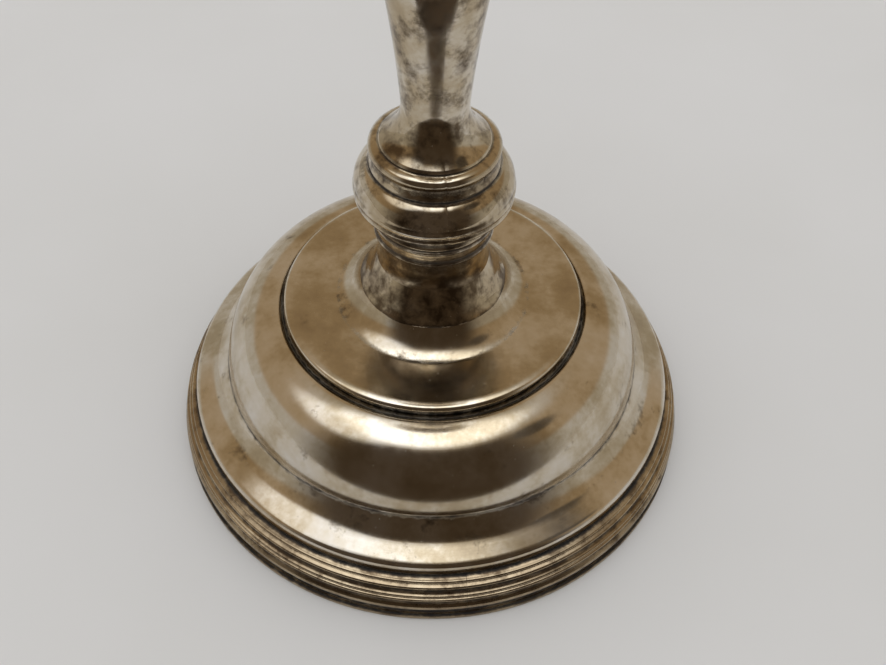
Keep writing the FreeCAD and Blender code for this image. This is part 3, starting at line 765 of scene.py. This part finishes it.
class CANDLE_OT_head(bpy.types.Operator):
    """Builds the shoulder collar, the small knop and the vase-shaped capital"""
    bl_idname = "candle.head"
    bl_label = "Head"

    def execute(self, context):
        hole = ROD_HOLE
        radius, foot, top = SHOULDER_COLLAR
        outline = [
            (hole, foot), (radius - 2.2, foot), (radius - 1.5, foot + 0.8, 0.9),
            (radius - 1.5, top - 0.8), (radius - 3.5, top), (hole, top)]
        # black bells in the ring's corners: polish residue and painted shade
        piece = lathe("shoulder_ring", outline,
                      [(radius - 2.2, foot, 0.8), (radius - 3.5, top, 0.8)],
                      shape=lambda r, z, a: waver(r, z, a, 0.06, 37))
        finish_piece(piece, plate("head"), "stand", "silver_plate", "shoulder_collar")

        radius, foot, top = UPPER_KNOP
        radius = radius + 0.2
        outline = [
            (hole, foot), (radius - 4, foot), (radius - 4, foot + 2, 0.55),
            (radius - 0.4, (foot + top) / 2, 0.45), (radius - 4.2, top - 1.6),
            (radius - 4.2, top), (hole, top)]
        # black bells in the knop's corners: polish residue and painted shade
        piece = lathe("small_knop", outline, [(radius - 4, foot + 1, 1.2), (radius - 4, top - 1, 1.2)],
                      shape=lambda r, z, a: waver(r, z, a, 0.06, 41))
        finish_piece(piece, plate("head"), "stand", "silver_plate", "upper_knop")
        self.capital(hole)
        return {"FINISHED"}

    def capital(self, hole):
        radius, foot, top = CAPITAL
        neck = 8.4
        floor = span("socket_tube")[1]
        bowl = SOCKET_OUTER + 2.4
        lip = top - 3.4
        outline = [
            (hole, foot), (neck + 1.6, foot), (neck + 1.8, foot + 0.4, 0.9),
            (neck + 1.8, foot + 2.6), (neck + 0.9, foot + 3.0, -0.3), (neck + 0.4, floor - 6, 0.3),
            (bowl, floor + 5, 0.05), (bowl - 0.6, lip - 8, -0.3), (radius - 0.9, lip),
            (radius - 0.4, lip + 0.5, 0.9), (radius - 0.4, top - 0.7), (radius - 1.2, top),
            (SOCKET_OUTER, top), (SOCKET_OUTER, floor), (hole, floor)]
        # black bells in the capital's corners: polish residue and painted shade
        piece = lathe("vase_capital", outline,
                      [(neck + 0.9, foot + 3.0, 1.0), (neck + 1, foot, 0.8), (radius - 1, lip, 0.8)],
                      shape=lambda r, z, a: waver(r, z, a, 0.08, 43))
        finish_piece(piece, plate("head"), "stand", "silver_plate", "capital")


class CANDLE_OT_nozzle(bpy.types.Operator):
    """Builds the lift-out nozzle: candle cup, drip pan and the wire in its edge"""
    bl_idname = "candle.nozzle"
    bl_label = "Nozzle"

    def execute(self, context):
        outer, foot, top = NOZZLE
        bore = outer - 0.9
        floor = foot + SHEET
        outline = [
            (0, foot), (outer - 0.4, foot, 0.41), (outer, foot + 0.4), (outer, top),
            (bore, top), (bore, floor), (0, floor)]
        self.cup(outline)

        wire = 1.3
        edge_radius, _, wire_top = PAN_WIRE_BOX
        rest = CAPITAL[2]
        depth = wire_top - wire - rest
        flat = 24.0
        edge = edge_radius - 1.5 * wire
        rise = depth - wire
        outline = [
            (outer, rest), (flat, rest, 0.18), (edge, rest + rise),
            (edge - SHEET / 2, rest + rise + SHEET, -0.18), (flat - SHEET / 2, rest + SHEET),
            (outer, rest + SHEET)]
        # black bell where the dish meets the cup: polish residue and painted shade
        piece = lathe("drip_dish", outline, [(outer + 0.3, rest + SHEET, 1.2)],
                      shape=lambda r, z, a: waver(r, z, a, 0.12, 47))
        finish_piece(piece, plate("head"), "nozzle", "silver_plate", "drip_pan")

        middle = edge_radius - wire
        height = rest + depth
        outline = [
            (middle, height - wire, 1.0), (middle, height + wire, 1.0)]
        piece = lathe("dish_wire", outline, shape=lambda r, z, a: waver(r, z, a, 0.05, 53))
        finish_piece(piece, plate("head"), "nozzle", "silver_plate", "pan_wire")
        return {"FINISHED"}

    def cup(self, outline):
        """The cup's profile ends on the axis, so it is carried round as an open one."""
        piece = lathe("candle_cup", [(max(r, 0.02), z, *rest) for r, z, *rest in outline],
                      shape=lambda r, z, a: waver(r, z, a, 0.02, 59))
        finish_piece(piece, plate("head"), "nozzle", "silver_plate", "nozzle_sleeve")


class CANDLE_OT_pad(bpy.types.Operator):
    """Builds the baize pad under the foot"""
    bl_idname = "candle.pad"
    bl_label = "Baize pad"

    def execute(self, context):
        radius, foot, top = span("felt_pad")
        hub = 0.02
        outline = [(hub, foot), (radius - 0.5, foot, 0.3), (radius, foot + 0.5),
                   (radius, top), (hub, top)]

        def nap(r, z, a):
            random = np.random.default_rng(61)
            tufts = random.uniform(0, 0.12, (len(r), a.shape[1]))
            return tufts * (r > 1)

        piece = lathe("baize_pad", outline, shape=nap)
        finish_piece(piece, wool_baize("green_wool_baize"), "stand", "baize", "felt_pad")
        return {"FINISHED"}


class CANDLE_OT_inner_parts(bpy.types.Operator):
    """Gives the rod, fasteners, weight, bush and socket tube their finishes"""
    bl_idname = "candle.inner_parts"
    bl_label = "Inner parts"

    def execute(self, context):
        zinc = plain_metal("zinc_plated_steel", "#B9BBBD", "#8C8F92", 4, 0.28, 0.01)
        brass = plain_metal("dull_turned_brass", "#B08D4F", "#7A5C30", 6, 0.30, 0.01)
        japan = coated_metal("black_japanned_steel", "#1B1A19", "#2C2621", 8, 0.35, 0.02)
        iron = coated_metal("sand_cast_iron", "#3A3531", "#5A4335", 7, 0.65, 0.35)
        finishes = {
            "tie_rod": zinc, "top_washer": zinc, "top_nut": zinc, "bottom_washer": zinc,
            "spring_washer": zinc, "bottom_nut": zinc, "shaft_bush": brass, "socket_tube": brass,
            "spreader": japan, "base_plate": japan, "ballast_weight": iron}
        for node, material in finishes.items():
            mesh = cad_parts[node].data
            mesh.materials.clear()
            mesh.materials.append(material)
        return {"FINISHED"}


class CANDLE_OT_stage(bpy.types.Operator):
    """Builds the pale table top, the light of the room and the camera"""
    bl_idname = "candle.stage"
    bl_label = "Stage"

    def execute(self, context):
        settings = context.scene.candle_stage
        self.floor(settings.floor_size, settings.front_edge)
        self.sky()
        self.camera(settings)
        context.scene.view_settings.view_transform = "Standard"
        return {"FINISHED"}

    def floor(self, size, front):
        """Pale table top; past its front edge the metal mirrors the dark there."""
        mesh = bpy.data.meshes.new("pale_floor")
        half = size / 2
        level = FLOOR * MM - 0.00002
        corners = [(-half, -front, level), (half, -front, level), (half, half, level),
                   (-half, half, level)]
        mesh.from_pydata(corners, [], [(0, 1, 2, 3)])
        floor = bpy.data.objects.new("pale_floor", mesh)
        bpy.context.scene.collection.objects.link(floor)
        mesh.materials.append(pale_paper("pale_table_top"))

    def sky(self):
        """Room round the table, as radiance by direction.

        A pale sheet stands round the table up to about 20 degrees, a tan room lies above it, a
        big soft light hangs overhead, and someone dark stands in front. Seen directly the room
        is a plain pale grey.
        """
        world = bpy.data.worlds.new("warm_room")
        bpy.context.scene.world = world
        world.use_nodes = True
        tree = world.node_tree
        tree.nodes.clear()
        way = add(tree, "ShaderNodeTexCoord").outputs["Generated"]
        parts = add(tree, "ShaderNodeSeparateXYZ", {0: way})
        _, depth, rise = parts.outputs

        def soft(value, low, high):
            return add(tree, "ShaderNodeMapRange", {0: value, 1: low, 2: high},
                       interpolation_type="SMOOTHSTEP").outputs[0]

        def toward(direction):
            aim = Vector(direction).normalized()
            return add(tree, "ShaderNodeVectorMath", {0: way, 1: aim},
                       operation="DOT_PRODUCT").outputs["Value"]

        # pale sheet, tan room and ceiling, by height of the direction
        sheet, room, ceiling = (0.50, 0.475, 0.43, 1), (0.41, 0.32, 0.215, 1), (0.50, 0.48, 0.44, 1)
        colour = mixed(tree, soft(rise, 0.28, 0.38), sheet, room)
        colour = mixed(tree, soft(rise, 0.80, 0.95), colour, ceiling)

        # someone dark in front: level angle from straight ahead, in radians, then height
        level = sums(tree, "SQRT", sums(tree, "SUBTRACT", 1.0, sums(tree, "MULTIPLY", rise, rise)))
        facing = sums(tree, "DIVIDE", sums(tree, "MULTIPLY", depth, -1.0), level)
        someone = sums(tree, "MULTIPLY", soft(facing, math.cos(1.25), math.cos(0.70)),
                       soft(rise, 0.92, 0.80))
        colour = mixed(tree, someone, colour, (0.075, 0.056, 0.040, 1))

        # overhead lamp with a weaker wing to the left, and a small dark thing at the right
        glow = (2.2, 2.27, 2.36, 1)
        lamp = soft(toward((0.0, -0.06, 1.0)), math.cos(0.50), math.cos(0.26))
        wing = soft(toward((-0.50, -0.16, 1.0)), math.cos(0.42), math.cos(0.20))
        colour = mixed(tree, sums(tree, "MULTIPLY", wing, 0.5), colour, glow)
        colour = mixed(tree, lamp, colour, glow)
        shadow = soft(toward((0.62, -0.28, 0.73)), math.cos(0.20), math.cos(0.13))
        colour = mixed(tree, shadow, colour, (0.10, 0.085, 0.07, 1))

        # matt surfaces get an even neutral light, and the eye a plain grey
        path = add(tree, "ShaderNodeLightPath")
        colour = mixed(tree, path.outputs["Is Diffuse Ray"], colour, (0.71, 0.71, 0.71, 1))
        colour = mixed(tree, path.outputs["Is Camera Ray"], colour, linear("#D6D5D3"))
        backdrop = add(tree, "ShaderNodeBackground", {"Color": colour, "Strength": 1.0})
        output = tree.nodes.new("ShaderNodeOutputWorld")
        tree.links.new(backdrop.outputs[0], output.inputs[0])

    def camera(self, settings):
        """Camera at (0, -distance, height), looking down by pitch, turned by yaw and roll."""
        data = bpy.data.cameras.new("view_camera")
        data.lens = settings.lens
        data.sensor_width = 36.0
        data.clip_start = 0.01
        camera = bpy.data.objects.new("view_camera", data)
        pitch, yaw, roll = settings.pitch, settings.yaw, settings.roll
        ahead = Vector((math.sin(yaw) * math.cos(pitch), math.cos(yaw) * math.cos(pitch),
                        -math.sin(pitch)))
        level = Vector((math.cos(yaw), -math.sin(yaw), 0))
        upward = level.cross(ahead)
        right = math.cos(roll) * level + math.sin(roll) * upward
        above = right.cross(ahead)
        turned = Matrix((right, above, -ahead)).transposed().to_4x4()
        camera.matrix_world = Matrix.Translation((0, -settings.distance, settings.height)) @ turned
        bpy.context.scene.collection.objects.link(camera)
        bpy.context.scene.camera = camera


class CANDLE_PT_panel(bpy.types.Panel):
    """Lists the settings and the building steps"""
    bl_idname = "CANDLE_PT_panel"
    bl_label = "Altar candlestick"
    bl_space_type = "VIEW_3D"
    bl_region_type = "UI"
    bl_category = "Candlestick"

    def draw(self, context):
        scene = context.scene
        for title, group in (("Foot", scene.candle_foot), ("Stem", scene.candle_stem),
                             ("Finish", scene.candle_finish), ("Stage", scene.candle_stage)):
            box = self.layout.box()
            box.label(text=title)
            for key in group.bl_rna.properties.keys():
                if key not in ("rna_type", "name"):
                    box.prop(group, key)
        for step in STEPS:
            self.layout.operator(step.bl_idname)


GROUPS = {
    "candle_foot": FootSettings,
    "candle_stem": StemSettings,
    "candle_finish": FinishSettings,
    "candle_stage": StageSettings,
}
STEPS = (CANDLE_OT_stage, CANDLE_OT_foot, CANDLE_OT_stem, CANDLE_OT_head, CANDLE_OT_nozzle,
         CANDLE_OT_pad, CANDLE_OT_inner_parts)


def register():
    for item in (*GROUPS.values(), *STEPS, CANDLE_PT_panel):
        bpy.utils.register_class(item)
    for name, group in GROUPS.items():
        setattr(bpy.types.Scene, name, PointerProperty(type=group))


def unregister():
    for name in GROUPS:
        delattr(bpy.types.Scene, name)
    for item in (CANDLE_PT_panel, *reversed(STEPS), *GROUPS.values()):
        bpy.utils.unregister_class(item)


def main():
    register()
    bpy.ops.candle.stage()
    bpy.ops.candle.foot()
    bpy.ops.candle.stem()
    bpy.ops.candle.head()
    bpy.ops.candle.nozzle()
    bpy.ops.candle.pad()
    bpy.ops.candle.inner_parts()


if __name__ == "__main__":
    main()
